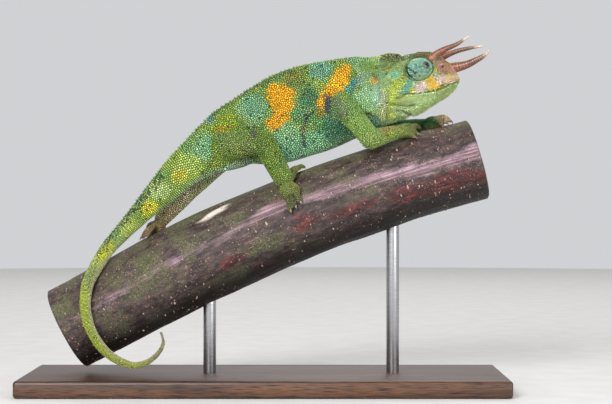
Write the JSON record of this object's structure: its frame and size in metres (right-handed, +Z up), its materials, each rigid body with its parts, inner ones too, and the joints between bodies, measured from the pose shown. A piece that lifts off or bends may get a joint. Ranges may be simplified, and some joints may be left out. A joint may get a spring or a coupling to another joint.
{
  "type": "jacksons chameleon",
  "caption": "Life-size model of a male horned chameleon gripping a cut branch with its tail curled, on a display stand.",
  "frame": {"origin": "under the middle of the stand's base, on the surface it stands on", "axes": "+X along the branch towards the animal's head, +Z up, and the animal's right side faces -Y"},
  "size_m": [0.224, 0.08, 0.1645],
  "materials": {
    "skin": "granular scales, green with yellow, turquoise and orange patches",
    "horn": "ringed horn, satin",
    "eye": "wet gloss",
    "bark": "smooth bark with algae and pale lenticels",
    "base": "dark stained wood, satin",
    "rod": "satin"
  },
  "bodies": {
    "root": {"torso": "skin", "neck": "skin", "head": "skin", "jaw": "skin", "tail_base": "skin", "tail_middle": "skin", "tail_drop": "skin", "tail_curl": "skin", "tail_hook": "skin", "tail_tip": "skin", "upper_arm_right": "skin", "forearm_right": "skin", "fore_foot_right": "skin", "upper_arm_left": "skin", "forearm_left": "skin", "fore_foot_left": "skin", "thigh_right": "skin", "shin_right": "skin", "hind_foot_right": "skin", "thigh_left": "skin", "shin_left": "skin", "hind_foot_left": "skin", "eye_right": "skin", "eye_left": "skin", "horn_nose": "horn", "horn_brow_right": "horn", "horn_brow_left": "horn", "eyeball_right": "eye", "eyeball_left": "eye", "perch": "bark", "stand_base": "base", "stand_rod_rear": "rod", "stand_rod_front": "rod"}
  },
  "joints": []
}
